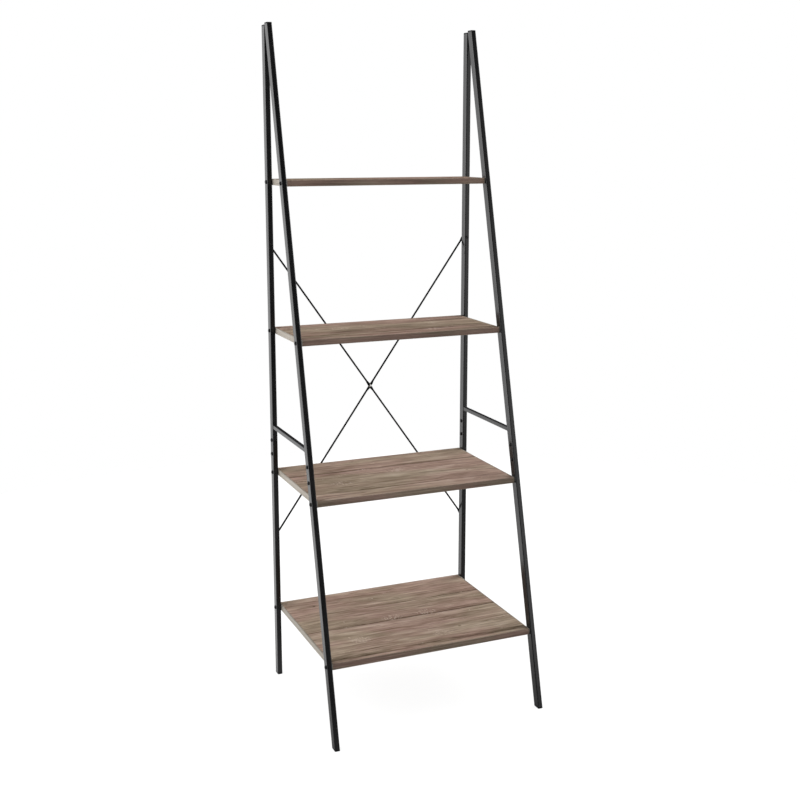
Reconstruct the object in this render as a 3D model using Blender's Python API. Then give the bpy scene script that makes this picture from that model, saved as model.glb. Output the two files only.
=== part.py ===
"""Ladder shelf: four boards between two leaning side frames, with an X-brace behind.

Metres, +Z up. The front faces -Y and the origin is on the floor, under the middle of the part.
Touching pieces are kept GAP apart. The rear posts are upright and the front posts lean back.
"""
import math

import bmesh
import bpy
from mathutils import Matrix, Vector

# ---- driving dimensions ------------------------------------------------------------------
HEIGHT = 1.700  # floor to the top of the front posts
WIDTH = 0.563  # over the outer faces of the posts
FOOT_DEPTH = 0.473  # rear face of the rear posts to the front of the front posts, on the floor
TOP_DEPTH = 0.0459  # the same distance at the full height
REAR_DROP = 0.004  # how much lower the rear posts end
GAP = 0.0003  # clearance between touching pieces

TUBE_WIDTH = 0.013  # posts, across the shelf
TUBE_DEPTH = 0.022  # posts, front to back
TUBE_WALL = 0.0012
TUBE_CORNER = 0.0022
INNER_CORNER = 0.6  # how much of a wall the corner inside it is tighter by
SEAM_HEIGHT = 0.636  # where the lower and upper tubes meet

FOOT_THICKNESS = 0.004
FOOT_BEVEL = 0.0004
CAP_THICKNESS = 0.003
CAP_BEVEL = 0.0006
PLUG_LENGTH = 0.012

SLEEVE_LENGTH = 0.072
SLEEVE_WALL = 0.0012
SLEEVE_BOLT_SPREAD = 0.037  # between the two bolts of a seam
SLEEVE_BOLT_OFFSET = -0.002  # their middle against the seam

BAR_SIZE = 0.010
BAR_WALL = 0.0010
BAR_CORNER = 0.0012
BAR_HEIGHT = 0.689  # middle of the side crossbars

SHELF_THICKNESS = 0.015
SHELF_TOP = 0.197  # top of the bottom board
SHELF_PITCH = 0.376
SHELF_SETBACK = 0.005  # front edge behind the front of the post, at half the thickness
SHELF_EDGE = 0.0008
SHELF_NAMES = ("bottom", "lower", "upper", "top")

BOLT_RADIUS = 0.0025
BOLT_HEAD_RADIUS = 0.00475
BOLT_HEAD_HEIGHT = 0.0024
BOLT_SOCKET = 0.003  # across the flats of the hexagon
SHELF_BOLT_GRIP = 0.025  # length inside a board
BOLT_TIP = 0.0012  # how far a through bolt shows on the far side

ROD_RADIUS = 0.0024
ROD_FLAT = 0.0016  # thickness of the flattened stretches
ROD_END_WIDTH = 0.0095
ROD_CROSS_WIDTH = 0.0075
ROD_CROSS_HALF = 0.0065  # half length of the flat at the crossing
ROD_BLEND = 0.010  # length from round to flat
ROD_LOW = 0.3815  # height of the lower rod ends
ROD_HIGH = 1.1635  # height of the upper rod ends
ROD_DRILL = 0.015  # length of the cutters through the rods
ROD_ROUNDING = 0.98  # corner of a section against half its thickness

BRACE_BOLT_RADIUS = 0.002
BRACE_HEAD_RADIUS = 0.0038
BRACE_HEAD_HEIGHT = 0.0020
BRACE_SOCKET = 0.0025
BRACE_NUT_WIDTH = 0.007  # across the flats
BRACE_NUT_HEIGHT = 0.0022
BRACE_TIP = 0.0005  # bolt past its nut

RIVET_RADIUS = 0.0015
RIVET_HEAD_RADIUS = 0.0035
RIVET_HEAD_HEIGHT = 0.0010

SMOOTH_ANGLE = 35  # degrees up to which an edge is shaded round
CORNER_STEPS = 4  # facets of a tube's rounded corner
BOLT_SIDES = 18
HOLE_SIDES = 16

# ---- worked out from the driving dimensions ----------------------------------------------
ROD_FRONT_FLAT = GAP + ROD_FLAT / 2  # rod end flats behind the rear posts
ROD_AXIS = GAP + ROD_RADIUS
ROD_REAR_FLAT = ROD_FRONT_FLAT + ROD_FLAT + GAP  # flat of the rear rod at the crossing
BRACE_REACH = ROD_REAR_FLAT + ROD_FLAT / 2 + GAP + RIVET_HEAD_HEIGHT
LEAN = (FOOT_DEPTH - TOP_DEPTH) / HEIGHT
REAR_Y = (FOOT_DEPTH - LEAN * FOOT_BEVEL - BRACE_REACH) / 2
POST_X = (WIDTH - TUBE_WIDTH) / 2
INNER_X = WIDTH / 2 - TUBE_WIDTH
HOLE_RADIUS = BOLT_RADIUS + GAP
BRACE_HOLE_RADIUS = BRACE_BOLT_RADIUS + GAP
SIDES = {"left": -1, "right": 1}
ROWS = ("rear", "front")

BLACK_STEEL = ("black_powder_coat", (0.028, 0.028, 0.030), 0.45, 0.0)
OAK = ("grey_oak", (0.27, 0.22, 0.18), 0.62, 0.0)
BLACK_PLASTIC = ("black_plastic", (0.012, 0.012, 0.013), 0.55, 0.0)
BLACK_BOLT = ("blackened_steel", (0.035, 0.035, 0.037), 0.38, 0.9)
BRIGHT_STEEL = ("bright_steel", (0.62, 0.62, 0.60), 0.35, 1.0)


def clear_scene():
    for item in list(bpy.data.objects):
        bpy.data.objects.remove(item, do_unlink=True)


def material(recipe):
    """The Principled material of a recipe, made once."""
    name, color, roughness, metallic = recipe
    if name in bpy.data.materials:
        return bpy.data.materials[name]
    made = bpy.data.materials.new(name)
    made.use_nodes = True
    shader = made.node_tree.nodes["Principled BSDF"]
    shader.inputs["Base Color"].default_value = (*color, 1.0)
    shader.inputs["Roughness"].default_value = roughness
    shader.inputs["Metallic"].default_value = metallic
    made.diffuse_color = (*color, 1.0)
    return made


# ---- mesh helpers ------------------------------------------------------------------------
def rounded_rectangle(width, depth, radius, steps=CORNER_STEPS):
    """Points of a rectangle with round corners, counterclockwise about its middle."""
    points = []
    for quarter in range(4):
        angle = quarter * math.pi / 2
        side_x = 1 if quarter in (0, 3) else -1
        side_y = 1 if quarter in (0, 1) else -1
        middle_x = side_x * (width / 2 - radius)
        middle_y = side_y * (depth / 2 - radius)
        for step in range(steps + 1):
            turn = angle + step / steps * math.pi / 2
            points.append((middle_x + radius * math.cos(turn), middle_y + radius * math.sin(turn)))
    return points


def loft(rings, closed):
    """A mesh through rings of equal length: a tube when closed, otherwise capped at both ends."""
    shape = bmesh.new()
    loops = [[shape.verts.new(point) for point in ring] for ring in rings]
    pairs = list(zip(loops, loops[1:]))
    if closed:
        pairs.append((loops[-1], loops[0]))
    else:
        shape.faces.new(loops[0])
        shape.faces.new(loops[-1])
    for low, high in pairs:
        for here in range(len(low)):
            after = (here + 1) % len(low)
            shape.faces.new((low[here], low[after], high[after], high[here]))
    bmesh.ops.recalc_face_normals(shape, faces=shape.faces[:])
    return shape


def mesh_from(shape, name):
    mesh = bpy.data.meshes.new(name)
    shape.to_mesh(mesh)
    shape.free()
    return mesh


def add_object(name, mesh, recipe):
    """A node of its own with its material, smooth on its round faces."""
    item = bpy.data.objects.new(name, mesh)
    bpy.context.scene.collection.objects.link(item)
    if not mesh.materials:
        mesh.materials.append(material(recipe))
        mesh.shade_smooth()
        mesh.set_sharp_from_angle(angle=math.radians(SMOOTH_ANGLE))
    return item


def round_bar(shape, start, direction, radius, length):
    """Adds a capped cylinder that starts at a point and runs along a direction."""
    turn = Vector((0, 0, 1)).rotation_difference(Vector(direction)).to_matrix().to_4x4()
    place = Matrix.Translation(start) @ turn @ Matrix.Translation((0, 0, length / 2))
    bmesh.ops.create_cone(shape, cap_ends=True, segments=HOLE_SIDES, radius1=radius,
                          radius2=radius, depth=length, matrix=place)


def drill(item, bars):
    """Cuts round holes, each given as (start, direction, radius, length)."""
    shape = bmesh.new()
    for start, direction, radius, length in bars:
        round_bar(shape, start, direction, radius, length)
    cutter = bpy.data.objects.new(item.name + "_holes", mesh_from(shape, item.name + "_holes"))
    bpy.context.scene.collection.objects.link(cutter)
    cutter.hide_render = True
    cutter.display_type = "WIRE"
    cut = item.modifiers.new("Holes", "BOOLEAN")
    cut.operation = "DIFFERENCE"
    cut.solver = "EXACT"
    cut.object = cutter


# ---- the post lines ----------------------------------------------------------------------
def stretch(row):
    """How much longer a level cut through a post is than its square section."""
    return math.hypot(1, LEAN) if row == "front" else 1.0


def post_y(row, z):
    """Middle of a post, front to back, at a height."""
    half = TUBE_DEPTH * stretch(row) / 2
    if row == "rear":
        return REAR_Y - half
    return REAR_Y - FOOT_DEPTH + LEAN * z + half


def post_top(row):
    return HEIGHT - (REAR_DROP if row == "rear" else 0.0)


def post_ring(side, row, width, depth, radius, z):
    """A rounded rectangle around a post's line, level at a height."""
    middle = Vector((SIDES[side] * POST_X, post_y(row, z), z))
    long = stretch(row)
    return [middle + Vector((x, y * long, 0)) for x, y in rounded_rectangle(width, depth, radius)]


def post_tube(side, row, width, depth, radius, wall, low, high):
    """A hollow tube that follows a post's line between two heights."""
    sizes = ((width, depth, radius), (width - 2 * wall, depth - 2 * wall, radius - wall * INNER_CORNER))
    rings = [post_ring(side, row, *sizes[0], low), post_ring(side, row, *sizes[0], high),
             post_ring(side, row, *sizes[1], high), post_ring(side, row, *sizes[1], low)]
    return loft(rings, closed=True)


# ---- sub-parts ---------------------------------------------------------------------------
def shelf_tops():
    return {name: SHELF_TOP + index * SHELF_PITCH for index, name in enumerate(SHELF_NAMES)}


def bolt_heights():
    """Heights of the shelf bolts, at half the thickness of each board."""
    return {name: top - SHELF_THICKNESS / 2 for name, top in shelf_tops().items()}


def sleeve_bolt_heights():
    middle = SEAM_HEIGHT + SLEEVE_BOLT_OFFSET
    return {"lower": middle - SLEEVE_BOLT_SPREAD / 2, "upper": middle + SLEEVE_BOLT_SPREAD / 2}


def post_holes(side, row, low, high):
    """The bolt holes of one tube: across it, and front to back where a brace rod ends."""
    start_x = SIDES[side] * POST_X - TUBE_WIDTH
    heights = [z for z in (*bolt_heights().values(), *sleeve_bolt_heights().values())
               if low < z < high]
    bars = [(Vector((start_x, post_y(row, z), z)), (1, 0, 0), HOLE_RADIUS, 2 * TUBE_WIDTH)
            for z in heights]
    if row == "rear":
        for z in (ROD_LOW, ROD_HIGH):
            if low < z < high:
                start = Vector((SIDES[side] * POST_X, REAR_Y + TUBE_DEPTH / 2, z))
                bars.append((start, (0, -1, 0), BRACE_HOLE_RADIUS, 2 * TUBE_DEPTH))
    return bars


def make_posts():
    for side in SIDES:
        for row in ROWS:
            spans = {"lower": (FOOT_THICKNESS + GAP, SEAM_HEIGHT - GAP / 2),
                     "upper": (SEAM_HEIGHT + GAP / 2, post_top(row) - CAP_THICKNESS - GAP)}
            for level, (low, high) in spans.items():
                name = f"{side}_{row}_post_{level}"
                shape = post_tube(side, row, TUBE_WIDTH, TUBE_DEPTH, TUBE_CORNER, TUBE_WALL,
                                  low, high)
                item = add_object(name, mesh_from(shape, name), BLACK_STEEL)
                drill(item, post_holes(side, row, low, high))


def make_sleeves():
    """The connector inside each post, across its seam."""
    width = TUBE_WIDTH - 2 * (TUBE_WALL + GAP)
    depth = TUBE_DEPTH - 2 * (TUBE_WALL + GAP)
    for side in SIDES:
        for row in ROWS:
            name = f"{side}_{row}_sleeve"
            low = SEAM_HEIGHT + SLEEVE_BOLT_OFFSET - SLEEVE_LENGTH / 2
            high = low + SLEEVE_LENGTH
            shape = post_tube(side, row, width, depth, TUBE_CORNER - TUBE_WALL * INNER_CORNER - GAP,
                              SLEEVE_WALL, low, high)
            item = add_object(name, mesh_from(shape, name), BLACK_STEEL)
            drill(item, post_holes(side, row, low, high))


def end_piece(side, row, inner, face, outer, bevel):
    """A plug inside the tube and a lid over its end, from the plug's end to the outer face."""
    wide = TUBE_WIDTH - 2 * (TUBE_WALL + GAP)
    deep = TUBE_DEPTH - 2 * (TUBE_WALL + GAP)
    plug = (wide, deep, TUBE_CORNER - TUBE_WALL * INNER_CORNER - GAP)
    lid = (TUBE_WIDTH, TUBE_DEPTH, TUBE_CORNER)
    last = (TUBE_WIDTH - 2 * bevel, TUBE_DEPTH - 2 * bevel, TUBE_CORNER - bevel)
    shoulder = outer - math.copysign(bevel, outer - face)
    rings = [post_ring(side, row, *plug, inner), post_ring(side, row, *plug, face),
             post_ring(side, row, *lid, face), post_ring(side, row, *lid, shoulder),
             post_ring(side, row, *last, outer)]
    return loft(rings, closed=False)


def make_ends():
    """The feet and the top caps."""
    for side in SIDES:
        for row in ROWS:
            name = f"{side}_{row}_foot"
            shape = end_piece(side, row, FOOT_THICKNESS + PLUG_LENGTH, FOOT_THICKNESS, 0.0,
                              FOOT_BEVEL)
            add_object(name, mesh_from(shape, name), BLACK_PLASTIC)
            name = f"{side}_{row}_cap"
            top = post_top(row)
            face = top - CAP_THICKNESS
            shape = end_piece(side, row, face - PLUG_LENGTH, face, top, CAP_BEVEL)
            add_object(name, mesh_from(shape, name), BLACK_PLASTIC)


def make_crossbars():
    """A square tube from the rear post to the back of the front post of each side frame."""
    rear_end = post_y("rear", 0) - TUBE_DEPTH / 2 - GAP
    half_post = TUBE_DEPTH * stretch("front") / 2
    sizes = ((BAR_SIZE, BAR_CORNER), (BAR_SIZE - 2 * BAR_WALL, BAR_CORNER - BAR_WALL * INNER_CORNER))
    for side in SIDES:
        outlines = []
        for size, corner in sizes:
            outline = [(SIDES[side] * POST_X + x, BAR_HEIGHT + z)
                       for x, z in rounded_rectangle(size, size, corner)]
            rear = [Vector((x, rear_end, z)) for x, z in outline]
            front = [Vector((x, post_y("front", z) + half_post + GAP, z)) for x, z in outline]
            outlines.append((rear, front))
        (outer_rear, outer_front), (inner_rear, inner_front) = outlines
        name = f"{side}_crossbar"
        shape = loft([outer_rear, outer_front, inner_front, inner_rear], closed=True)
        add_object(name, mesh_from(shape, name), BLACK_STEEL)


def shelf_front(z):
    return post_y("front", z) - TUBE_DEPTH * stretch("front") / 2 + SHELF_SETBACK


def make_shelves():
    """Boards between the side frames, flush with the rear of the rear posts."""
    half = INNER_X - GAP
    reach = SHELF_BOLT_GRIP + 2 * GAP
    for name, top in shelf_tops().items():
        middle_z = top - SHELF_THICKNESS / 2
        front = shelf_front(middle_z)
        depth = REAR_Y - front
        shape = bmesh.new()
        bmesh.ops.create_cube(shape, size=1.0)
        bmesh.ops.scale(shape, vec=(2 * half, depth, SHELF_THICKNESS), verts=shape.verts[:])
        bmesh.ops.translate(shape, vec=(0, front + depth / 2, middle_z), verts=shape.verts[:])
        item = add_object(f"{name}_shelf", mesh_from(shape, f"{name}_shelf"), OAK)
        bevel = item.modifiers.new("Edges", "BEVEL")
        bevel.width = SHELF_EDGE
        bevel.segments = 2
        bars = []
        for side in SIDES.values():
            for row in ROWS:
                start = Vector((side * (half + reach), post_y(row, middle_z), middle_z))
                bars.append((start, (-side, 0, 0), HOLE_RADIUS, 2 * reach))
        drill(item, bars)


def bolt_ring(along, size, hexagonal):
    """A circle around X, or a hexagon when size is half the distance across its flats."""
    ring = []
    for step in range(BOLT_SIDES):
        turn = 2 * math.pi * step / BOLT_SIDES
        reach = size / math.cos(turn % (math.pi / 3) - math.pi / 6) if hexagonal else size
        ring.append(Vector((along, reach * math.cos(turn), reach * math.sin(turn))))
    return ring


def bolt_shape(radius, length, head_radius, head_height, socket, nut=None):
    """A button-head bolt along +X: the head's underside is at 0 and the shank runs forward.

    nut is where the nut on the bolt starts, its size across the flats and its height.
    """
    chamfer = 0.0005
    profile = [(length, radius - chamfer, False), (length - chamfer, radius, False)]
    if nut:
        start, width, height = nut
        profile += [(start + height, radius, False), (start + height, width / 2, True),
                    (start, width / 2, True), (start, radius, False)]
    profile += [(0, radius, False), (0, head_radius, False), (-0.25 * head_height, head_radius, False),
                (-0.72 * head_height, head_radius * 0.82, False),
                (-head_height, head_radius * 0.52, False), (-head_height, socket / 2, True),
                (-0.35 * head_height, socket / 2, True)]
    return loft([bolt_ring(*entry) for entry in profile], closed=False)


def make_shelf_bolts():
    """From the outer face of each post into the end of each board."""
    length = TUBE_WIDTH + 2 * GAP + SHELF_BOLT_GRIP
    shape = bolt_shape(BOLT_RADIUS, length, BOLT_HEAD_RADIUS, BOLT_HEAD_HEIGHT, BOLT_SOCKET)
    mesh = mesh_from(shape, "shelf_bolt")
    for side, sign in SIDES.items():
        for row in ROWS:
            for name, z in bolt_heights().items():
                item = add_object(f"{side}_{row}_shelf_bolt_{name}", mesh, BLACK_BOLT)
                item.location = (sign * (WIDTH / 2 + GAP), post_y(row, z), z)
                item.rotation_euler.z = 0.0 if side == "left" else math.pi


def make_sleeve_bolts():
    """Through each post and its sleeve, driven from the left on both side frames."""
    length = TUBE_WIDTH + GAP + BOLT_TIP
    shape = bolt_shape(BOLT_RADIUS, length, BOLT_HEAD_RADIUS, BOLT_HEAD_HEIGHT, BOLT_SOCKET)
    mesh = mesh_from(shape, "sleeve_bolt")
    for side, sign in SIDES.items():
        for row in ROWS:
            for level, z in sleeve_bolt_heights().items():
                item = add_object(f"{side}_{row}_sleeve_bolt_{level}", mesh, BLACK_BOLT)
                item.location = (sign * POST_X - TUBE_WIDTH / 2 - GAP, post_y(row, z), z)


def rod_sections(cross_flat):
    """Sections along half a rod from its end: (distance, width, thickness, offset in Y)."""
    half_length = math.hypot(2 * POST_X, ROD_HIGH - ROD_LOW) / 2
    eye = ROD_END_WIDTH / 2
    sections = []
    for back in (0.97, 0.75, 0.4, 0.0):
        width = ROD_END_WIDTH * math.sqrt(1 - back * back)
        sections.append((-eye * back, width, ROD_FLAT, ROD_FRONT_FLAT))
    for part in (0.0, 0.3, 0.7, 1.0):
        ease = part * part * (3 - 2 * part)
        sections.append((eye + ROD_BLEND * part,
                         ROD_END_WIDTH + (2 * ROD_RADIUS - ROD_END_WIDTH) * ease,
                         ROD_FLAT + (2 * ROD_RADIUS - ROD_FLAT) * ease,
                         ROD_FRONT_FLAT + (ROD_AXIS - ROD_FRONT_FLAT) * ease))
    for part in (1.0, 0.7, 0.3, 0.0):
        ease = part * part * (3 - 2 * part)
        sections.append((half_length - ROD_CROSS_HALF - ROD_BLEND * part,
                         ROD_CROSS_WIDTH + (2 * ROD_RADIUS - ROD_CROSS_WIDTH) * ease,
                         ROD_FLAT + (2 * ROD_RADIUS - ROD_FLAT) * ease,
                         cross_flat + (ROD_AXIS - cross_flat) * ease))
    mirrored = [(2 * half_length - along, *rest) for along, *rest in reversed(sections)]
    return sections + mirrored


def make_brace():
    """Two rods flattened at their ends and where they cross, one riveted over the other."""
    cross_z = (ROD_LOW + ROD_HIGH) / 2
    rise = ROD_HIGH - ROD_LOW
    for name, sign, cross_flat in (("front", 1, ROD_FRONT_FLAT), ("rear", -1, ROD_REAR_FLAT)):
        along = Vector((sign * 2 * POST_X, 0, rise)).normalized()
        across = Vector((-along.z, 0, along.x))
        start = Vector((-sign * POST_X, REAR_Y, ROD_LOW))
        rings = []
        for distance, width, thickness, offset in rod_sections(cross_flat):
            radius = min(width, thickness) / 2
            middle = start + along * distance + Vector((0, offset, 0))
            rings.append([middle + across * x + Vector((0, y, 0))
                          for x, y in rounded_rectangle(width, thickness, radius * ROD_ROUNDING)])
        item = add_object(f"brace_rod_{name}", mesh_from(loft(rings, closed=False), name), BLACK_STEEL)
        holes = ((-sign * POST_X, ROD_LOW, BRACE_HOLE_RADIUS), (0, cross_z, RIVET_RADIUS + GAP),
                 (sign * POST_X, ROD_HIGH, BRACE_HOLE_RADIUS))
        drill(item, [(Vector((x, REAR_Y + 2 * BRACE_REACH, z)), (0, -1, 0), radius, ROD_DRILL)
                     for x, z, radius in holes])


def make_rivet():
    """Through both rods where they cross, with a low round head on each side."""
    front = ROD_FRONT_FLAT - ROD_FLAT / 2 - GAP
    back = ROD_REAR_FLAT + ROD_FLAT / 2 + GAP
    profile = [(front - RIVET_HEAD_HEIGHT, 0.6), (front - 0.4 * RIVET_HEAD_HEIGHT, 0.93), (front, 1.0),
               (front, RIVET_RADIUS / RIVET_HEAD_RADIUS), (back, RIVET_RADIUS / RIVET_HEAD_RADIUS),
               (back, 1.0), (back + 0.4 * RIVET_HEAD_HEIGHT, 0.93), (back + RIVET_HEAD_HEIGHT, 0.6)]
    middle = Vector((0, REAR_Y, (ROD_LOW + ROD_HIGH) / 2))
    rings = []
    for along, share in profile:
        size = share * RIVET_HEAD_RADIUS
        rings.append([middle + Vector((point.y, along, point.z))
                      for point in bolt_ring(0, size, False)])
    add_object("brace_rivet", mesh_from(loft(rings, closed=False), "brace_rivet"), BRIGHT_STEEL)


def make_brace_bolts():
    """From the front of each rear post through it and the rod's end, each with its nut behind."""
    underside = REAR_Y - TUBE_DEPTH - GAP
    nut_start = GAP + TUBE_DEPTH + ROD_FRONT_FLAT + ROD_FLAT / 2 + GAP
    length = nut_start + BRACE_NUT_HEIGHT + BRACE_TIP
    shape = bolt_shape(BRACE_BOLT_RADIUS, length, BRACE_HEAD_RADIUS, BRACE_HEAD_HEIGHT, BRACE_SOCKET,
                       (nut_start, BRACE_NUT_WIDTH, BRACE_NUT_HEIGHT))
    mesh = mesh_from(shape, "brace_bolt")
    for side, sign in SIDES.items():
        for level, z in {"lower": ROD_LOW, "upper": ROD_HIGH}.items():
            item = add_object(f"{side}_brace_bolt_{level}", mesh, BLACK_BOLT)
            item.location = (sign * POST_X, underside, z)
            item.rotation_euler.z = math.pi / 2


def main():
    clear_scene()
    make_posts()
    make_sleeves()
    make_ends()
    make_crossbars()
    make_shelves()
    make_shelf_bolts()
    make_sleeve_bolts()
    make_brace()
    make_rivet()
    make_brace_bolts()


main()
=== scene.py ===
"""Finish of the ladder shelf: boards, fasteners, caps, feet, welds, materials, light and camera.

Metres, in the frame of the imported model: +Z is up and the front faces -Y.
"""

import math

import bmesh
import bpy
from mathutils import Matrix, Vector


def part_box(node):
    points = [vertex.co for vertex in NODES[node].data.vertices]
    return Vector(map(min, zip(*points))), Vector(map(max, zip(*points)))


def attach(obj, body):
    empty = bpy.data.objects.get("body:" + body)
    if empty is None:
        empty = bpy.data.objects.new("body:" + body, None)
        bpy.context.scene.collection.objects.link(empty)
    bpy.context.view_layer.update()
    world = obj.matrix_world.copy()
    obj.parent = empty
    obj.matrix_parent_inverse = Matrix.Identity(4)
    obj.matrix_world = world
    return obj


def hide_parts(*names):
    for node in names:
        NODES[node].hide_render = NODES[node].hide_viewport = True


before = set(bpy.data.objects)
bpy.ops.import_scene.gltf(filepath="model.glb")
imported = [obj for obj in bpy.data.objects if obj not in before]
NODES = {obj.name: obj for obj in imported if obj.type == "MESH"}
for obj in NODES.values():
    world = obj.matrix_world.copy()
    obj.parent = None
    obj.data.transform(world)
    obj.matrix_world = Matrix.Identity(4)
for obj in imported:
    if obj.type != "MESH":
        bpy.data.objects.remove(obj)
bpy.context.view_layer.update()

SIDES = ("left", "right")
ROWS = ("rear", "front")

# ---- camera: seen from the front left, a little above the top board ------------------------
CAMERA_PLACE = (-1.1455, -2.6509, 1.4155)
CAMERA_YAW = 0.4039
CAMERA_PITCH = 0.1975
CAMERA_LENS = 52.98
CAMERA_SHIFT = -0.028

# ---- light ---------------------------------------------------------------------------------
BACKDROP = 0.50  # what the camera sees behind the part
ROOM_LIGHT = 0.03
GLOWS = (  # direction of each broad soft light, cosines where it starts and is full, strength
    ((-0.75, 0.65, 0.0), 0.60, 0.92, 0.72),
    ((0.788, -0.616, 0.0), 0.83, 0.935, 0.95),
)
SUNS = (  # name, direction from the part, strength and softness of each light
    ("left_softbox", (-1.0, 0.25, 0.32), 1.7, 1.4),
    ("right_softbox", (1.0, 0.20, 0.70), 1.3, 1.2),
    ("top_softbox", (-0.1, -0.05, 1.0), 0.5, 1.6),
)
EXPOSURE = 1.0
FLOOR_RADIUS = 2.4
FLOOR_BOUNCE = 0.35  # the floor lights the part less than it shows
FLOOR_GLOW = 0.44  # light of its own that the floor shows, so that shadows on it stay faint
FLOOR_SHINE = 0.40  # what glossy faces see of the floor behind the part

# ---- finer sizes of the pieces made here ---------------------------------------------------
BOARD_ROUNDING = 0.0008
LONG_BAND_THICKNESS = 0.0012  # edge bands, seen as lines around the facing
END_BAND_THICKNESS = 0.0028
JOINT_WIDTH = 0.0006  # dark hairline between facing and band
JOINT_DEPTH = 0.00012
BOLT_SIDES = 48
BOLT_HEAD = 0.51  # height of a bolt's head, and radius of its shank, in radii of the head
BOLT_SHANK = 0.526
THREAD_PITCH = 0.0008
THREAD_DEPTH = 0.00025
THREAD_LENGTH = 0.004  # only the end of a bolt is threaded
THREAD_STEPS = 40
DOME_STEPS = 8
SOCKETS = {"shelf": 0.003, "sleeve": 0.003, "brace": 0.0025}  # across the flats
BRACE_SPIN = 0.3  # radians that a bolt is spun for each letter of its node's name
RIGHT_SPIN = 0.7
OTHER_SPIN = 0.5
NUT_WIDTH = 0.007  # across the flats of the nuts behind the brace rods
NUT_HEIGHT = 0.0022
NUT_BORE = 0.55  # radius of the hole, in radii of the bolt's head
NUT_TIP = 0.0005  # how far a bolt shows past its nut
RIVET_HEAD = 0.0010
RIVET_NECK = 0.0015
POST_CORNER = 0.0022
PLUG_INSET = 0.0016  # plugs of the caps and feet inside the posts
PLUG_DEPTH = 0.010
LID_ROUNDING = 0.0012
FOOT_ROUNDING = 0.0006
WELD_RADIUS = 0.0010
WELD_CORNER = 0.0014

# ---- tone of the wood ----------------------------------------------------------------------
FACING_TONE = 0.55
FACING_WEIGHTS = (0.50, 0.60, 0.95, 0.22)  # of broad bands, mottle, streaks and fibres
BAND_TONE = 0.38
BAND_WEIGHTS = (0.50, 0.80, 0.20)  # of broad bands, streaks and fibres
VEIN_WEIGHT = -0.32
DRAWN_VEIN_WEIGHT = -2.0
SEAM_WEIGHT = -0.65
SEAM_SHADE_WEIGHT = -0.17
SEAM_WIDTH = 0.0022
KNOT_WEIGHT = -0.34
BOARD_SHIFT = 2.3  # so that no two boards show the same grain
PLANK_SHIFT = 1.37  # so that the grain doesn't run on from one plank into the other
SAW_PATCH = (0.034, 0.021)  # size of a patch of saw marks along and across the grain
SAWN_OAK = (0.52, 0.43, 0.36)


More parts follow.
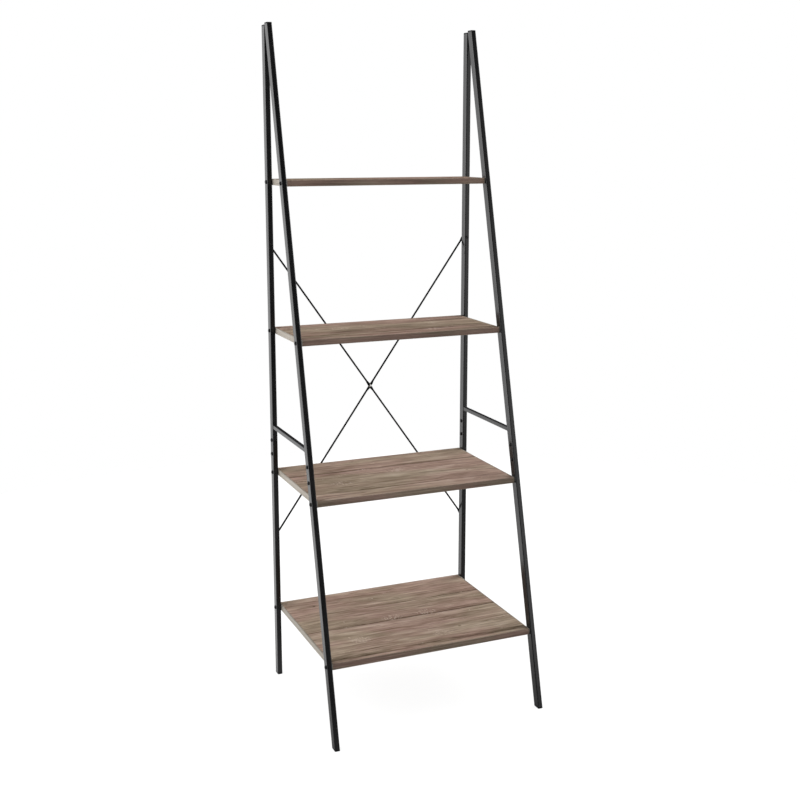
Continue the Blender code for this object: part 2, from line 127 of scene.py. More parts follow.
# ---- material helpers ----------------------------------------------------------------------
class Surface:
    """A Principled material that is wired up node by node, in the object's own metres."""

    def __init__(self, name, metallic=0.0):
        self.material = bpy.data.materials.new(name)
        self.material.use_nodes = True
        self.tree = self.material.node_tree
        self.shader = self.tree.nodes["Principled BSDF"]
        self.shader.inputs["Metallic"].default_value = metallic
        self.place = self.add("ShaderNodeTexCoord").outputs["Object"]

    def add(self, kind, **settings):
        node = self.tree.nodes.new(kind)
        for key, value in settings.items():
            setattr(node, key, value)
        return node

    def feed(self, socket, value):
        if isinstance(value, bpy.types.NodeSocket):
            self.tree.links.new(value, socket)
        else:
            socket.default_value = value

    def math(self, operation, *values):
        node = self.add("ShaderNodeMath", operation=operation)
        for socket, value in zip(node.inputs, values):
            self.feed(socket, value)
        return node.outputs[0]

    def total(self, start, *parts):
        """start plus each value times its weight."""
        for value, weight in parts:
            node = self.add("ShaderNodeMath", operation="MULTIPLY_ADD")
            for socket, part in zip(node.inputs, (value, weight, start)):
                self.feed(socket, part)
            start = node.outputs[0]
        return start

    def axes(self):
        node = self.add("ShaderNodeSeparateXYZ")
        self.feed(node.inputs[0], self.place)
        return node.outputs

    def point(self, x, y, z):
        node = self.add("ShaderNodeCombineXYZ")
        for socket, value in zip(node.inputs, (x, y, z)):
            self.feed(socket, value)
        return node.outputs[0]

    def noise(self, scale, vector=None, detail=3.0, roughness=0.5, distortion=0.0):
        """Noise with its own number of features per metre along each axis."""
        spread = self.add("ShaderNodeMapping")
        self.feed(spread.inputs["Vector"], vector or self.place)
        spread.inputs["Scale"].default_value = scale
        node = self.add("ShaderNodeTexNoise")
        self.feed(node.inputs["Vector"], spread.outputs[0])
        node.inputs["Scale"].default_value = 1.0
        node.inputs["Detail"].default_value = detail
        node.inputs["Roughness"].default_value = roughness
        node.inputs["Distortion"].default_value = distortion
        return node.outputs[0]

    def ranged(self, value, low, high, to_low=0.0, to_high=1.0):
        node = self.add("ShaderNodeMapRange", interpolation_type="SMOOTHSTEP")
        for socket, number in zip(node.inputs, (value, low, high, to_low, to_high)):
            self.feed(socket, number)
        return node.outputs[0]

    def blend(self, factor, first, second):
        node = self.add("ShaderNodeMix", data_type="RGBA")
        self.feed(node.inputs[0], factor)
        for socket, value in ((node.inputs[6], first), (node.inputs[7], second)):
            self.feed(socket, value if isinstance(value, bpy.types.NodeSocket) else (*value, 1.0))
        return node.outputs[2]

    def ramp(self, value, stops):
        node = self.add("ShaderNodeValToRGB")
        self.feed(node.inputs[0], value)
        marks = node.color_ramp.elements
        while len(marks) < len(stops):
            marks.new(1.0)
        for mark, (place, color) in zip(marks, stops):
            mark.position = place
            mark.color = (*color, 1.0)
        return node.outputs[0]

    def bump(self, height, distance, below=None):
        node = self.add("ShaderNodeBump")
        node.inputs["Distance"].default_value = distance
        self.feed(node.inputs["Height"], height)
        if below is not None:
            self.feed(node.inputs["Normal"], below)
        return node.outputs[0]

    def edge_wear_and_highlight_mask(self, radius):
        """1 on sharp outer edges and 0 on flat faces."""
        soft = self.add("ShaderNodeBevel", samples=4)
        soft.inputs["Radius"].default_value = radius
        level = self.add("ShaderNodeVectorMath", operation="DOT_PRODUCT")
        self.feed(level.inputs[0], soft.outputs[0])
        self.feed(level.inputs[1], self.add("ShaderNodeNewGeometry").outputs["True Normal"])
        return self.ranged(level.outputs["Value"], 0.995, 0.90)

    def finish(self, color, roughness, normal=None):
        self.feed(self.shader.inputs["Base Color"], color)
        self.feed(self.shader.inputs["Roughness"], roughness)
        if normal is not None:
            self.feed(self.shader.inputs["Normal"], normal)
        return self.material


# ---- materials -----------------------------------------------------------------------------
def powder_coat():
    """Satin black coating: a fine orange peel, faint rubbing and a little wear on the edges."""
    coat = Surface("Black powder coat")
    peel = coat.noise((900, 900, 900), detail=2.0)
    swell = coat.noise((260, 260, 260), detail=1.0)
    rub = coat.noise((14, 14, 5), detail=5.0, roughness=0.65)
    worn = coat.math("MULTIPLY", coat.edge_wear_and_highlight_mask(0.0006), coat.ranged(rub, 0.45, 0.72))
    color = coat.blend(coat.ranged(rub, 0.35, 0.75), (0.006, 0.006, 0.0065), (0.011, 0.011, 0.0115))
    color = coat.blend(coat.math("MULTIPLY", worn, 0.5), color, (0.07, 0.07, 0.07))
    roughness = coat.math("ADD", coat.ranged(rub, 0.3, 0.8, 0.13, 0.21),
                          coat.math("MULTIPLY", peel, 0.05))
    coat.shader.inputs["Specular IOR Level"].default_value = 0.35
    normal = coat.bump(peel, 0.000012, coat.bump(swell, 0.00002))
    return coat.finish(color, roughness, normal)


def oak_colors(wood, tone, tint):
    """Grey-brown oak from its grain tone, drifting between a pinker and a greener brown."""
    pink = wood.ramp(tone, ((0.12, (0.074, 0.045, 0.034)), (0.40, (0.214, 0.1405, 0.109)),
                            (0.60, (0.309, 0.2155, 0.173)), (0.88, (0.460, 0.360, 0.300))))
    olive = wood.ramp(tone, ((0.12, (0.068, 0.047, 0.030)), (0.40, (0.197, 0.1495, 0.107)),
                             (0.60, (0.286, 0.2230, 0.164)), (0.88, (0.440, 0.365, 0.287))))
    return wood.blend(tint, pink, olive)


def spot(wood, along, across, center, size):
    """How far a point is from a center, squared, in sizes along and across the grain."""
    far = wood.math("DIVIDE", wood.math("SUBTRACT", along, center[0]), size[0])
    wide = wood.math("DIVIDE", wood.math("SUBTRACT", across, center[1]), size[1])
    return wood.math("ADD", wood.math("MULTIPLY", far, far), wood.math("MULTIPLY", wide, wide))


def grain_line(wood, across, place, width):
    """1 on a line along the grain at a place, fading to 0 over its width."""
    off = wood.math("ABSOLUTE", wood.math("SUBTRACT", across, place))
    return wood.ranged(off, width, width * 0.25)


def around_knots(wood, x, bent, knots):
    """Place across the grain, bent so that the grain bulges around each knot."""
    for knot_x, knot_y, size in knots:
        near = spot(wood, x, bent, (knot_x, knot_y), (size * 3.0, size * 1.6))
        near = wood.math("EXPONENT", wood.math("MULTIPLY", near, -1.0))
        pull = wood.math("MULTIPLY", wood.math("SUBTRACT", bent, knot_y), near)
        bent = wood.math("SUBTRACT", bent, wood.math("MULTIPLY", pull, 0.8))
    return bent


def facing_grain(wood, grain, front_plank, plain):
    """Tone of the plain grain, with the mottle, streaks and fibres that it is made of."""
    broad = wood.noise((2.4, 30, 1), grain, detail=2.0, distortion=0.4)
    mottle = wood.noise((16, 55, 1), grain, detail=3.0)
    streak = wood.noise((7, 125, 1), grain, detail=5.0, roughness=0.62)
    fibre = wood.noise((34, 950, 1), grain, detail=2.0)
    vein = wood.noise((3.2, 62, 1), grain, detail=2.0)
    vein = wood.ranged(wood.math("ABSOLUTE", wood.math("SUBTRACT", vein, 0.5)), 0.020, 0.004)
    vein = wood.math("MULTIPLY", vein, wood.ranged(mottle, 0.42, 0.62))
    layers = zip((broad, mottle, streak, fibre), FACING_WEIGHTS)
    tone = wood.total(plain, *layers, (vein, VEIN_WEIGHT), (front_plank, 0.02))
    return tone, mottle, streak, fibre


def dark_lines(wood, tone, straight, front_plank, mottle, look):
    """Darkens the tone along the drawn veins and the seam; also gives the seam's gap."""
    for place, width, depth in look["veins"]:
        line = wood.math("MULTIPLY", grain_line(wood, straight, place, width),
                         wood.ranged(mottle, 0.30, 0.50))
        tone = wood.total(tone, (line, DRAWN_VEIN_WEIGHT * depth))
    gap = wood.math("MULTIPLY", grain_line(wood, straight, look["seam"], SEAM_WIDTH),
                    wood.ranged(mottle, 0.32, 0.48))
    shade = wood.ranged(wood.math("SUBTRACT", straight, look["seam"]), 0.016, 0.0)
    shade = wood.math("MULTIPLY", shade, wood.math("SUBTRACT", 1.0, front_plank))
    return wood.total(tone, (gap, SEAM_WEIGHT), (shade, SEAM_SHADE_WEIGHT)), gap


def oak_facing(name, look, shift):
    """Board face: two planks of streaky grain along X, with knots, dark veins and saw marks.

    Places in look are metres from the middle of the part; shift moves the pattern.
    """
    wood = Surface(name)
    x, y = wood.axes()[:2]
    wander = wood.math("SUBTRACT", wood.noise((2.2, 8, 1), wood.point(x, y, shift)), 0.5)
    ragged = wood.math("SUBTRACT", wood.noise((26, 30, 1), wood.point(x, y, shift)), 0.5)
    straight = wood.total(y, (wander, 0.008), (ragged, 0.004))
    bent = wood.math("ADD", y, wood.math("MULTIPLY", wander, 0.042))
    bent = around_knots(wood, x, bent, look["knots"])
    front_plank = wood.math("LESS_THAN", straight, look["seam"])
    grain = wood.point(wood.total(x, (front_plank, PLANK_SHIFT)), bent, shift)
    # painted shade: the look's tone darkens the upper and top boards against the light and sheen they
    # catch
    plain = look["tone"] + FACING_TONE - 0.5 * sum(FACING_WEIGHTS)
    tone, mottle, streak, fibre = facing_grain(wood, grain, front_plank, plain)
    tone, gap = dark_lines(wood, tone, straight, front_plank, mottle, look)
    for knot_x, knot_y, size in look["knots"]:
        core = wood.ranged(spot(wood, x, y, (knot_x, knot_y), (size, size * 0.7)), 1.0, 0.1)
        tone = wood.total(tone, (core, KNOT_WEIGHT))
    tint = wood.ranged(wood.noise((3.5, 11, 1), grain, detail=2.0), 0.38, 0.62)
    cuts = saw_marks(wood, x, y, look["saw_marks"], shift)
    color = wood.blend(wood.math("MULTIPLY", cuts, 0.85), oak_colors(wood, tone, tint), SAWN_OAK)
    relief = wood.total(0.0, (fibre, 0.5), (streak, 0.5), (gap, -1.6), (cuts, -0.5))
    wood.shader.inputs["Specular IOR Level"].default_value = 0.03
    return wood.finish(color, wood.ranged(streak, 0.3, 0.7, 0.90, 0.76), wood.bump(relief, 0.00012))


def saw_marks(wood, x, y, places, shift):
    """Patches of short pale strokes across the grain: one at each place and a few strays."""
    spotted = wood.point(x, y, shift)
    patch = wood.ranged(wood.noise((15, 42, 1), spotted, detail=2.0), 0.66, 0.72)
    for place in places:
        near = wood.ranged(spot(wood, x, y, place, SAW_PATCH), 1.0, 0.25)
        patch = wood.math("MAXIMUM", patch, near)
    sway = wood.noise((26, 60, 1), spotted, detail=1.0)
    slant = wood.total(0.0, (x, 150.0), (y, 75.0), (sway, 2.2))
    strokes = wood.math("SINE", wood.math("MULTIPLY", slant, 2 * math.pi))
    broken = wood.ranged(wood.noise((150, 110, 1), spotted, detail=1.0), 0.44, 0.58)
    return wood.math("MULTIPLY", wood.math("MULTIPLY", patch, broken), wood.ranged(strokes, 0.0, 0.8))


def band_grain(wood):
    """Tone, tint and streaks of printed grain that runs along each side of a board."""
    x, y, z = wood.axes()
    grain = wood.point(wood.math("ADD", x, y), 0.0, z)
    broad = wood.noise((3.5, 1, 140), grain, detail=2.0)
    streak = wood.noise((8.0, 1, 480), grain, detail=4.0, roughness=0.62)
    fibre = wood.noise((50, 1, 1800), grain, detail=2.0)
    plain = BAND_TONE - 0.5 * sum(BAND_WEIGHTS)
    tone = wood.total(plain, *zip((broad, streak, fibre), BAND_WEIGHTS))
    tint = wood.ranged(wood.noise((6, 1, 40), grain, detail=1.0), 0.38, 0.62)
    wood.shader.inputs["Specular IOR Level"].default_value = 0.25
    return tone, tint, streak


def oak_band():
    """Edge band along the front and rear of the boards; its edges are lightened all round as a painted
    highlight.
    """
    wood = Surface("Oak edge band")
    tone, tint, streak = band_grain(wood)
    # painted highlight: lighter edges all round, standing in for the light that the band's rounded
    # edges catch
    painted_edge_highlight = wood.math("MULTIPLY", wood.edge_wear_and_highlight_mask(0.0016), 0.75)
    color = wood.blend(painted_edge_highlight, oak_colors(wood, tone, tint), (0.44, 0.36, 0.30))
    return wood.finish(color, wood.ranged(streak, 0.3, 0.7, 0.66, 0.52), wood.bump(streak, 0.00006))


def pale_band():
    """Paler edge band on the two ends of the boards."""
    wood = Surface("Pale end band")
    tone, tint, streak = band_grain(wood)
    dark = wood.blend(tint, (0.205, 0.180, 0.150), (0.200, 0.182, 0.152))
    color = wood.blend(wood.ranged(tone, 0.1, 0.7), dark, (0.32, 0.29, 0.25))
    return wood.finish(color, wood.ranged(streak, 0.3, 0.7, 0.60, 0.46), wood.bump(streak, 0.00005))


def glue_line():
    """Dark hairline where an edge band meets the facing."""
    glue = Surface("Dark glue line")
    speck = glue.noise((600, 600, 600), detail=2.0)
    color = glue.blend(speck, (0.030, 0.022, 0.017), (0.060, 0.045, 0.035))
    return glue.finish(color, 0.8, glue.bump(speck, 0.00003))


def moulded_plastic():
    """Matt black plastic of the caps and feet, with a fine moulded grain and rubbed edges."""
    plastic = Surface("Moulded black plastic")
    grain = plastic.noise((2300, 2300, 2300), detail=2.0)
    smear = plastic.noise((60, 60, 60), detail=3.0)
    worn = plastic.math("MULTIPLY", plastic.edge_wear_and_highlight_mask(0.0005), plastic.ranged(smear, 0.4, 0.7))
    color = plastic.blend(smear, (0.006, 0.006, 0.0065), (0.010, 0.010, 0.0105))
    color = plastic.blend(plastic.math("MULTIPLY", worn, 0.4), color, (0.05, 0.05, 0.05))
    plastic.shader.inputs["Specular IOR Level"].default_value = 0.12
    roughness = plastic.ranged(smear, 0.3, 0.7, 0.50, 0.66)
    return plastic.finish(color, roughness, plastic.bump(grain, 0.00002))


def black_wire():
    """Dull black of the thin brace rods, faintly blotched."""
    wire = Surface("Black drawn rod")
    blotch = wire.noise((120, 120, 120), detail=3.0)
    color = wire.blend(blotch, (0.003, 0.003, 0.0035), (0.007, 0.007, 0.0075))
    wire.shader.inputs["Specular IOR Level"].default_value = 0.08
    return wire.finish(color, wire.ranged(blotch, 0.3, 0.7, 0.48, 0.62), wire.bump(blotch, 0.00002))


def black_oxide():
    """Blackened bolt steel, brighter in patches along its edges."""
    steel = Surface("Black oxide steel", metallic=0.3)
    mottle = steel.noise((700, 700, 700), detail=4.0, roughness=0.6)
    worn = steel.math("MULTIPLY", steel.edge_wear_and_highlight_mask(0.0004), steel.ranged(mottle, 0.35, 0.6))
    color = steel.blend(mottle, (0.008, 0.008, 0.009), (0.022, 0.022, 0.022))
    color = steel.blend(steel.math("MULTIPLY", worn, 0.6), color, (0.30, 0.29, 0.28))
    steel.shader.inputs["Specular IOR Level"].default_value = 0.15
    roughness = steel.ranged(mottle, 0.3, 0.7, 0.30, 0.46)
    return steel.finish(color, roughness, steel.bump(mottle, 0.00001))


def bright_zinc():
    """Zinc-plated rivet steel with fine tool marks and dull spots."""
    steel = Surface("Bright zinc plating", metallic=1.0)
    spots = steel.noise((900, 900, 900), detail=4.0)
    marks = steel.noise((300, 300, 5200), detail=2.0)
    color = steel.blend(spots, (0.52, 0.52, 0.50), (0.72, 0.72, 0.70))
    roughness = steel.ranged(spots, 0.3, 0.7, 0.24, 0.42)
    return steel.finish(color, roughness, steel.bump(marks, 0.000008))


def pale_floor():
    """Floor that shows paler to the camera than it lights the part."""
    floor = Surface("Pale studio floor")
    cloud = floor.noise((1.5, 1.5, 1.5), detail=2.0)
    shown = floor.blend(cloud, (0.17, 0.17, 0.17), (0.20, 0.20, 0.20))
    bounce = (FLOOR_BOUNCE, FLOOR_BOUNCE, FLOOR_BOUNCE)
    rays = floor.add("ShaderNodeLightPath").outputs
    behind = floor.ranged(floor.axes()[1], -0.4, 0.6, 0.0, FLOOR_SHINE)
    glow = floor.total(floor.math("MULTIPLY", rays["Is Glossy Ray"], behind),
                       (rays["Is Camera Ray"], FLOOR_GLOW))
    floor.shader.inputs["Emission Color"].default_value = (1.0, 1.0, 1.0, 1.0)
    floor.feed(floor.shader.inputs["Emission Strength"], glow)
    floor.shader.inputs["Specular IOR Level"].default_value = 0.0
    return floor.finish(floor.blend(rays["Is Camera Ray"], bounce, shown), 0.9)


# ---- mesh helpers --------------------------------------------------------------------------
def finished_mesh(name, shape, materials, smooth_angle=40):
    """Turns a bmesh into a mesh that is smooth except at its sharp edges."""
    mesh = bpy.data.meshes.new(name)
    shape.to_mesh(mesh)
    shape.free()
    for finish in materials:
        mesh.materials.append(finish)
    mesh.shade_smooth()
    mesh.set_sharp_from_angle(angle=math.radians(smooth_angle))
    return mesh


def place_piece(name, mesh):
    piece = bpy.data.objects.new(name, mesh)
    bpy.context.scene.collection.objects.link(piece)
    return piece


def add_piece(name, shape, materials):
    return place_piece(name, finished_mesh(name, shape, materials))


def belongs(piece, slot, *replaced):
    if replaced:
        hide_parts(*replaced)
    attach(piece, "root")


def loft(rings, around=False):
    """Skins rings of equal length; the first and last are joined if around, else closed."""
    shape = bmesh.new()
    loops = [[shape.verts.new(point) for point in ring] for ring in rings]
    pairs = list(zip(loops, loops[1:]))
    if around:
        pairs.append((loops[-1], loops[0]))
    else:
        shape.faces.new(loops[0])
        shape.faces.new(loops[-1])
    for low, high in pairs:
        for here in range(len(low)):
            after = (here + 1) % len(low)
            shape.faces.new((low[here], low[after], high[after], high[here]))
    bmesh.ops.recalc_face_normals(shape, faces=shape.faces[:])
    return shape


def rounded_rectangle(width, depth, radius, steps=8):
    points = []
    for quarter in range(4):
        side_x = 1 if quarter in (0, 3) else -1
        side_y = 1 if quarter in (0, 1) else -1
        for step in range(steps + 1):
            turn = (quarter + step / steps) * math.pi / 2
            points.append((side_x * (width / 2 - radius) + radius * math.cos(turn),
                           side_y * (depth / 2 - radius) + radius * math.sin(turn)))
    return points


class PostLine:
    """Where a post runs: its middle and level section, read from the boxes of its two tubes."""

    def __init__(self, post):
        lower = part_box(f"{post}_post_lower")
        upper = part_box(f"{post}_post_upper")
        runs = [(high.y - low.y, high.z - low.z) for low, high in (lower, upper)]
        self.lean = (runs[1][0] - runs[0][0]) / (runs[1][1] - runs[0][1])
        self.depth = runs[0][0] - self.lean * runs[0][1]
        self.width = lower[1].x - lower[0].x
        self.x = (lower[0].x + lower[1].x) / 2
        self.base_y = lower[0].y + self.depth / 2 - self.lean * lower[0].z

    def middle(self, z):
        return Vector((self.x, self.base_y + self.lean * z, z))

    def ring(self, inset, radius, z):
        """The post's outline at a height, drawn in by inset."""
        middle = self.middle(z)
        outline = rounded_rectangle(self.width - 2 * inset, self.depth - 2 * inset, radius)
        return [middle + Vector((x, y, 0)) for x, y in outline]


# ---- boards --------------------------------------------------------------------------------
# How much lighter or darker each board is, where its two planks meet, and where its knots
# (x, y, size), dark veins (y, width, depth) and patches of saw marks (x, y) are. The darker
# tone of the upper and top boards is painted shade, against the extra light and sheen they catch.
LOOKS = {
    "bottom": {"tone": 0.0, "seam": 0.004, "knots": ((0.112, -0.099, 0.006), (-0.190, 0.170, 0.005)),
               "veins": ((0.108, 0.0035, 0.14), (-0.166, 0.0120, 0.15), (0.150, 0.0030, 0.08)),
               "saw_marks": ((0.070, 0.019), (-0.026, 0.020), (0.054, -0.119), (-0.152, -0.082))},
    "lower": {"tone": 0.0, "seam": 0.130, "knots": ((0.188, 0.022, 0.005),),
              "veins": ((0.082, 0.0030, 0.12), (-0.040, 0.0032, 0.14), (0.030, 0.0025, 0.06)),
              "saw_marks": ((0.010, 0.088), (-0.160, 0.030))},
    # painted shade: the upper and top boards are darkened against the light and sheen they catch
    "upper": {"tone": -0.07, "seam": 0.052, "knots": ((0.120, 0.160, 0.006),),
              "veins": ((0.030, 0.0040, 0.12), (0.175, 0.0040, 0.08)),
              "saw_marks": ((0.100, 0.045), (-0.120, 0.140))},
    "top": {"tone": -0.11, "seam": 0.170, "knots": ((-0.030, 0.205, 0.005),),
            "veins": ((0.125, 0.0030, 0.10), (0.200, 0.0030, 0.08)),
            "saw_marks": ((0.150, 0.140),)},
}
FACING, LONG_BAND, END_BAND, GLUE = range(4)


def board_block(low, high):
    """A block with rounded edges, cut where the edge bands begin."""
    shape = bmesh.new()
    bmesh.ops.create_cube(shape, size=1.0)
    bmesh.ops.scale(shape, vec=high - low, verts=shape.verts[:])
    bmesh.ops.translate(shape, vec=(low + high) / 2, verts=shape.verts[:])
    bmesh.ops.bevel(shape, geom=shape.edges[:], offset=BOARD_ROUNDING, segments=4,
                    profile=0.5, affect="EDGES")
    across, along = Vector((0, 1, 0)), Vector((1, 0, 0))
    for axis, thickness in ((across, LONG_BAND_THICKNESS), (along, END_BAND_THICKNESS)):
        for corner, way in ((low, 1), (high, -1)):
            parts = shape.faces[:] + shape.edges[:] + shape.verts[:]
            bmesh.ops.bisect_plane(shape, geom=parts, plane_co=corner + axis * thickness * way,
                                   plane_no=axis)
    return shape


def give_bands(shape, low, high):
    """Marks facing, bands and the grooves that part them by material."""
    for face in shape.faces:
        middle = face.calc_center_median()
        at_end = min(middle.x - low.x, high.x - middle.x) < END_BAND_THICKNESS
        face.material_index = END_BAND if at_end else LONG_BAND
    flats = [face for face in shape.faces
             if abs(face.normal.z) > 0.999 and face.calc_area() > 0.01]
    kept = set(shape.faces)
    for depth in (-JOINT_DEPTH, JOINT_DEPTH):
        bmesh.ops.inset_individual(shape, faces=flats, thickness=JOINT_WIDTH / 2, depth=depth)
    for face in shape.faces:
        if face not in kept:
            face.material_index = GLUE
    for face in flats:
        face.material_index = FACING


def make_boards(long_band, end_band, glue):
    """Each board with rounded edges, edge bands all round and a hairline beside every band."""
    for count, (name, look) in enumerate(LOOKS.items()):
        low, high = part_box(f"{name}_shelf")
        facing = oak_facing(f"Oak facing {name}", look, BOARD_SHIFT * count)
        shape = board_block(low, high)
        give_bands(shape, low, high)
        board = add_piece(f"{name}_board", shape, (facing, long_band, end_band, glue))
        belongs(board, "grey_oak", f"{name}_shelf")


# ---- fasteners -----------------------------------------------------------------------------
def turned_ring(along, size):
    """A circle around X; size may be a function of the angle."""
    ring = []
    for step in range(BOLT_SIDES):
        turn = 2 * math.pi * step / BOLT_SIDES
        reach = size(turn) if callable(size) else size
        ring.append(Vector((along, reach * math.cos(turn), reach * math.sin(turn))))
    return ring


def hexagon(apothem):
    return lambda turn: apothem / math.cos((turn % (math.pi / 3)) - math.pi / 6)


def threaded(radius, along, share):
    """Radius of a thread at a distance along the bolt, as a function of the angle."""
    def reach(turn):
        phase = (along / THREAD_PITCH - turn / (2 * math.pi)) % 1.0
        return (radius - THREAD_DEPTH * abs(2 * phase - 1)) * share
    return reach


def thread_rings(shank, tip):
    """The threaded end of a bolt, which starts a little smaller at its tip."""
    rings = [turned_ring(tip, shank * 0.72)]
    for step in range(THREAD_STEPS + 1):
        along = tip - 0.0002 - step * ((THREAD_LENGTH - 0.0002) / THREAD_STEPS)
        share = 0.86 + 0.14 * min(1.0, (step + 2) / 8)
        rings.append(turned_ring(along, threaded(shank, along, share)))
    return rings


def dome_rings(radius, head):
    """A button head: a narrow rim and a dome that ends in a flat top."""
    rings = [turned_ring(0.0, radius * 0.94)]
    rings.append(turned_ring(-0.05 * head, radius))
    rings.append(turned_ring(-0.20 * head, radius))
    flat = radius * 0.50
    for step in range(1, DOME_STEPS + 1):
        turn = step / DOME_STEPS * math.pi / 2
        rings.append(turned_ring(-head * (0.20 + 0.80 * math.sin(turn)),
                                 flat + (radius - flat) * math.cos(turn) ** 0.8))
    return rings


def socket_rings(socket, head):
    """The hexagonal socket, chamfered at its mouth and narrowing at its bottom."""
    return [turned_ring(-head, hexagon(socket / 2 * 1.10)),
            turned_ring(-0.94 * head, hexagon(socket / 2)),
            turned_ring(-0.40 * head, hexagon(socket / 2)),
            turned_ring(-0.30 * head, socket * 0.18)]


def bolt_mesh(kind, low, high, finish):
    """A button-head bolt along +X that fills a CAD bolt's box, with its thread at the tip."""
    radius = (high.y - low.y) / 2
    head = radius * BOLT_HEAD
    shank = radius * BOLT_SHANK
    tip = high.x - low.x - head
    rings = thread_rings(shank, tip)
    rings.append(turned_ring(tip - THREAD_LENGTH - 0.0003, shank * 0.96))
    rings.append(turned_ring(0.0, shank * 0.96))
    rings += dome_rings(radius, head) + socket_rings(SOCKETS[kind], head)
    return finished_mesh(f"{kind}_bolt", loft(rings), (finish,), smooth_angle=30), head


def nut_mesh(radius, finish):
    """A hexagonal nut along +X that fits around a bolt, with its corners chamfered."""
    half = NUT_WIDTH / 2
    edge = 0.1 * half
    flat = hexagon(half)
    rings = []
    for along, limit in ((0, 0.98), (edge, 1.16), (NUT_HEIGHT - edge, 1.16), (NUT_HEIGHT, 0.98)):
        rings.append(turned_ring(along, lambda turn, most=limit * half: min(flat(turn), most)))
    rings.append(turned_ring(NUT_HEIGHT, radius))
    rings.append(turned_ring(0, radius))
    return finished_mesh("brace_nut", loft(rings, around=True), (finish,), smooth_angle=30)


def bolt_meshes(finish):
    """One mesh for each size of bolt, with the height of its head."""
    sample = {"shelf": "left_rear_shelf_bolt_top", "sleeve": "left_rear_sleeve_bolt_lower"}
    meshes = {kind: bolt_mesh(kind, *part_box(node), finish) for kind, node in sample.items()}
    low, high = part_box("left_brace_bolt_lower")
    turned_low = Vector((0, low.z, low.z))
    turned_high = Vector((high.y - low.y, high.z, high.z))
    meshes["brace"] = bolt_mesh("brace", turned_low, turned_high, finish)
    return meshes


def place_turned(name, mesh, place, spin, heading):
    """Places a mesh made along +X, spun about its own axis and then turned to its heading."""
    piece = place_piece(name, mesh)
    piece.location = place
    piece.rotation_euler = (spin, 0, heading)
    return piece


def make_bolts(finish):
    """Every CAD bolt, drawn once per size; the length of its name sets how it is spun."""
    meshes = bolt_meshes(finish)
    low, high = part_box("left_brace_bolt_lower")
    nut = nut_mesh((high.z - low.z) / 2 * NUT_BORE, finish)
    for node in sorted(NODES):
        kind = next((kind for kind in meshes if f"_{kind}_bolt" in node), None)
        if kind is None:
            continue
        mesh, head = meshes[kind]
        low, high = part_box(node)
        middle = (low + high) / 2
        name = f"{node}_turned"
        if kind == "brace":
            place = (middle.x, low.y + head, middle.z)
            piece = place_turned(name, mesh, place, BRACE_SPIN * len(node), math.pi / 2)
            place = (middle.x, high.y - NUT_TIP - NUT_HEIGHT, middle.z)
            belongs(place_turned(f"{node}_nut", nut, place, 0, math.pi / 2), "blackened_steel")
        elif kind == "shelf" and node.startswith("right"):
            place = (high.x - head, middle.y, middle.z)
            piece = place_turned(name, mesh, place, RIGHT_SPIN * len(node), math.pi)
        else:
            place = (low.x + head, middle.y, middle.z)
            piece = place_turned(name, mesh, place, OTHER_SPIN * len(node), 0)
        belongs(piece, "blackened_steel", node)


def make_rivet(finish):
    """The rivet where the rods cross: a domed head with a rim on each side."""
    low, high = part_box("brace_rivet")
    middle = (low + high) / 2
    radius = (high.x - low.x) / 2
    grip = (high.y - low.y) / 2 - RIVET_HEAD
    dome = ((0.30, 1.0), (0.52, 0.995), (0.62, 0.93), (0.70, 0.84), (0.86, 0.66),
            (0.96, 0.42), (1.0, 0.16))
    front = [(-grip - RIVET_HEAD * part, radius * share) for part, share in reversed(dome)]
    neck = [(-grip, radius * 0.97), (-grip, RIVET_NECK), (grip, RIVET_NECK), (grip, radius * 0.97)]
    back = [(grip + RIVET_HEAD * part, radius * share) for part, share in dome]
    rings = []
    for along, size in front + neck + back:
        rings.append([middle + Vector((point.y, along, point.z)) for point in turned_ring(0, size)])
    belongs(add_piece("brace_rivet_head", loft(rings), (finish,)), "bright_steel", "brace_rivet")


# ---- caps, feet and welds ------------------------------------------------------------------
def plug_rings(line, end, way):
    """The hidden plug in a post's end and the step from it out to the full section."""
    return [line.ring(PLUG_INSET, 0.001, end - way * PLUG_DEPTH),
            line.ring(PLUG_INSET, 0.001, end + way * 0.0002),
            line.ring(0.0002, POST_CORNER, end + way * 0.0002),
            line.ring(0, POST_CORNER, end + way * 0.0005)]


def cap_rings(line, post_top, top):
    """A cap with a rounded upper edge."""
    rings = plug_rings(line, post_top, 1)
    for step in range(7):
        turn = step / 6 * math.pi / 2
        inset = LID_ROUNDING * (1 - math.cos(turn))
        rings.append(line.ring(inset, POST_CORNER - inset * 0.5,
                               top - LID_ROUNDING * (1 - math.sin(turn)) - 0.0001))
    rings.append(line.ring(LID_ROUNDING + 0.0016, 0.0012, top))
    return rings


def foot_rings(line, bottom):
    """A foot with a rounded lower edge and a shallow groove around its underside."""
    rings = plug_rings(line, bottom, -1)
    for step in range(5):
        turn = step / 4 * math.pi / 2
        inset = FOOT_ROUNDING * (1 - math.cos(turn))
        rings.append(line.ring(inset, POST_CORNER - inset * 0.5, FOOT_ROUNDING * (1 - math.sin(turn))))
    groove = ((0.0024, 0.0012, 0.0), (0.0027, 0.0010, 0.0006), (0.0040, 0.0006, 0.0006),
              (0.0043, 0.0005, 0.0001))
    rings += [line.ring(inset, radius, z) for inset, radius, z in groove]
    return rings


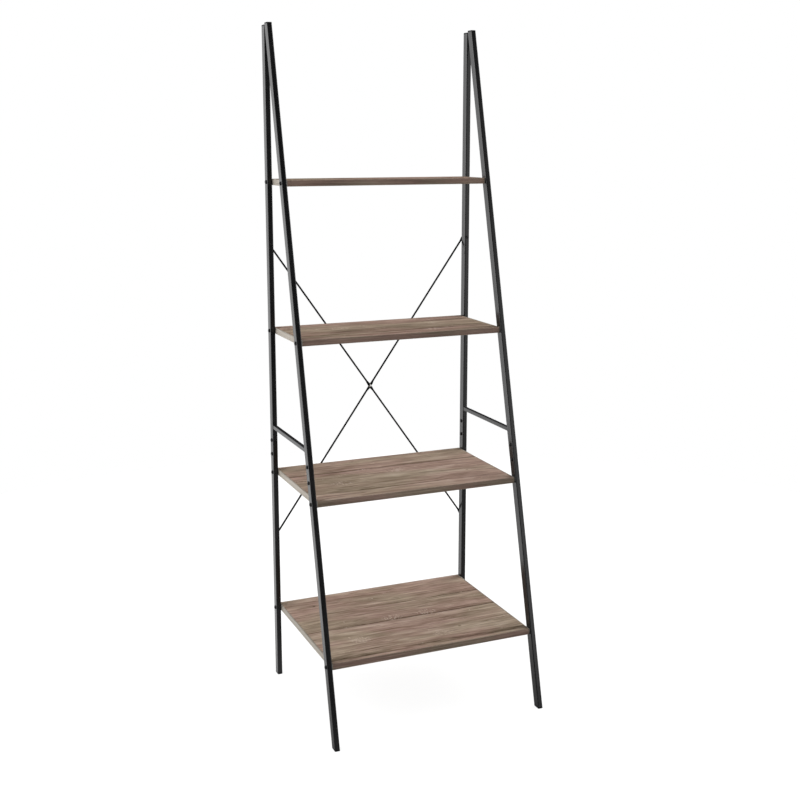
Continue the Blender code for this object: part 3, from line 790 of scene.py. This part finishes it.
def make_lids(finish):
    """Rounded caps on the post tops and feet under the posts."""
    for post in (f"{side}_{row}" for side in SIDES for row in ROWS):
        line = PostLine(post)
        post_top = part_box(f"{post}_post_upper")[1].z
        rings = cap_rings(line, post_top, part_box(f"{post}_cap")[1].z)
        lid = add_piece(f"{post}_cap_lid", loft(rings), (finish,))
        belongs(lid, "black_plastic", f"{post}_cap")
        rings = foot_rings(line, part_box(f"{post}_post_lower")[0].z)
        pad = add_piece(f"{post}_foot_pad", loft(rings), (finish,))
        belongs(pad, "black_plastic", f"{post}_foot")


def bead_ring(centre, outward, count):
    """One section of a weld bead; its size varies from section to section."""
    radius = WELD_RADIUS * (1 + 0.16 * math.sin(count * 2.1) + 0.07 * math.sin(count * 5.3))
    turns = (2 * math.pi * step / 10 for step in range(10))
    return [centre + radius * (outward * math.cos(turn) + Vector((0, math.sin(turn), 0)))
            for turn in turns]


def make_welds(finish):
    """A bead around each end of the side crossbars, straight along it and uneven at its corners."""
    for side in SIDES:
        low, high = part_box(f"{side}_crossbar")
        size = high.z - low.z
        outline = rounded_rectangle(size, size, WELD_CORNER, steps=6)
        middle = (low + high) / 2
        for row, way in (("rear", -1), ("front", 1)):
            post = PostLine(f"{side}_{row}")
            rings = []
            for count, (x, z) in enumerate(outline):
                face = post.middle(middle.z + z).y + way * post.depth / 2
                centre = Vector((middle.x + x, face, middle.z + z))
                rings.append(bead_ring(centre, Vector((x, 0, z)).normalized(), count))
            bead = add_piece(f"{side}_crossbar_weld_{row}", loft(rings, around=True), (finish,))
            belongs(bead, "black_powder_coat")


# ---- the carried-over CAD nodes ------------------------------------------------------------
def finish_nodes(coat, wire):
    for name, node in NODES.items():
        if "_post_" in name or "_sleeve" in name or "crossbar" in name or "rod" in name:
            for place in node.material_slots:
                place.material = wire if "rod" in name else coat


# ---- stage ---------------------------------------------------------------------------------
def make_stage():
    shape = bmesh.new()
    bmesh.ops.create_circle(shape, cap_ends=True, segments=96, radius=FLOOR_RADIUS)
    floor = add_piece("studio_floor", shape, (pale_floor(),))
    view = bpy.context.scene.view_settings
    view.view_transform = "Standard"
    view.exposure = EXPOSURE


def make_room():
    """White backdrop for the camera; the part is lit by a dim room with broad soft glows."""
    world = bpy.data.worlds.new("Studio")
    world.use_nodes = True
    tree = world.node_tree
    backdrop = tree.nodes["Background"]
    direction = tree.nodes.new("ShaderNodeTexCoord").outputs["Generated"]
    light = None
    for towards, none, full, strength in GLOWS:
        facing = tree.nodes.new("ShaderNodeVectorMath")
        facing.operation = "DOT_PRODUCT"
        facing.inputs[1].default_value = Vector(towards).normalized()
        glow = tree.nodes.new("ShaderNodeMapRange")
        glow.interpolation_type = "SMOOTHSTEP"
        for socket, number in zip(glow.inputs[1:], (none, full, 0.0, strength)):
            socket.default_value = number
        total = tree.nodes.new("ShaderNodeMath")
        tree.links.new(direction, facing.inputs[0])
        tree.links.new(facing.outputs["Value"], glow.inputs[0])
        tree.links.new(glow.outputs[0], total.inputs[0])
        if light is None:
            total.inputs[1].default_value = ROOM_LIGHT
        else:
            tree.links.new(light, total.inputs[1])
        light = total.outputs[0]
    seen = tree.nodes.new("ShaderNodeMix")
    seen.inputs[3].default_value = BACKDROP
    tree.links.new(tree.nodes.new("ShaderNodeLightPath").outputs["Is Camera Ray"], seen.inputs[0])
    tree.links.new(light, seen.inputs[2])
    tree.links.new(seen.outputs[0], backdrop.inputs["Strength"])
    backdrop.inputs["Color"].default_value = (1.0, 1.0, 1.0, 1.0)
    bpy.context.scene.world = world


def add_sun(name, towards, strength, softness):
    """A soft light from far away; towards points from the part to the light."""
    light = bpy.data.lights.new(name, "SUN")
    light.energy = strength
    light.angle = softness
    lamp = bpy.data.objects.new(name, light)
    lamp.rotation_euler = Vector(towards).to_track_quat("Z", "Y").to_euler()
    bpy.context.scene.collection.objects.link(lamp)


def make_camera():
    lens = bpy.data.cameras.new("Camera")
    lens.lens = CAMERA_LENS
    lens.sensor_width = 36.0
    lens.shift_y = CAMERA_SHIFT
    camera = bpy.data.objects.new("Camera", lens)
    camera.location = CAMERA_PLACE
    camera.rotation_euler = (math.pi / 2 - CAMERA_PITCH, 0, -CAMERA_YAW)
    bpy.context.scene.collection.objects.link(camera)
    bpy.context.scene.camera = camera


make_camera()
make_stage()
make_room()
for sun in SUNS:
    add_sun(*sun)
coat = powder_coat()
plastic = moulded_plastic()
finish_nodes(coat, black_wire())
make_boards(oak_band(), pale_band(), glue_line())
make_bolts(black_oxide())
make_rivet(bright_zinc())
make_lids(plastic)
make_welds(coat)
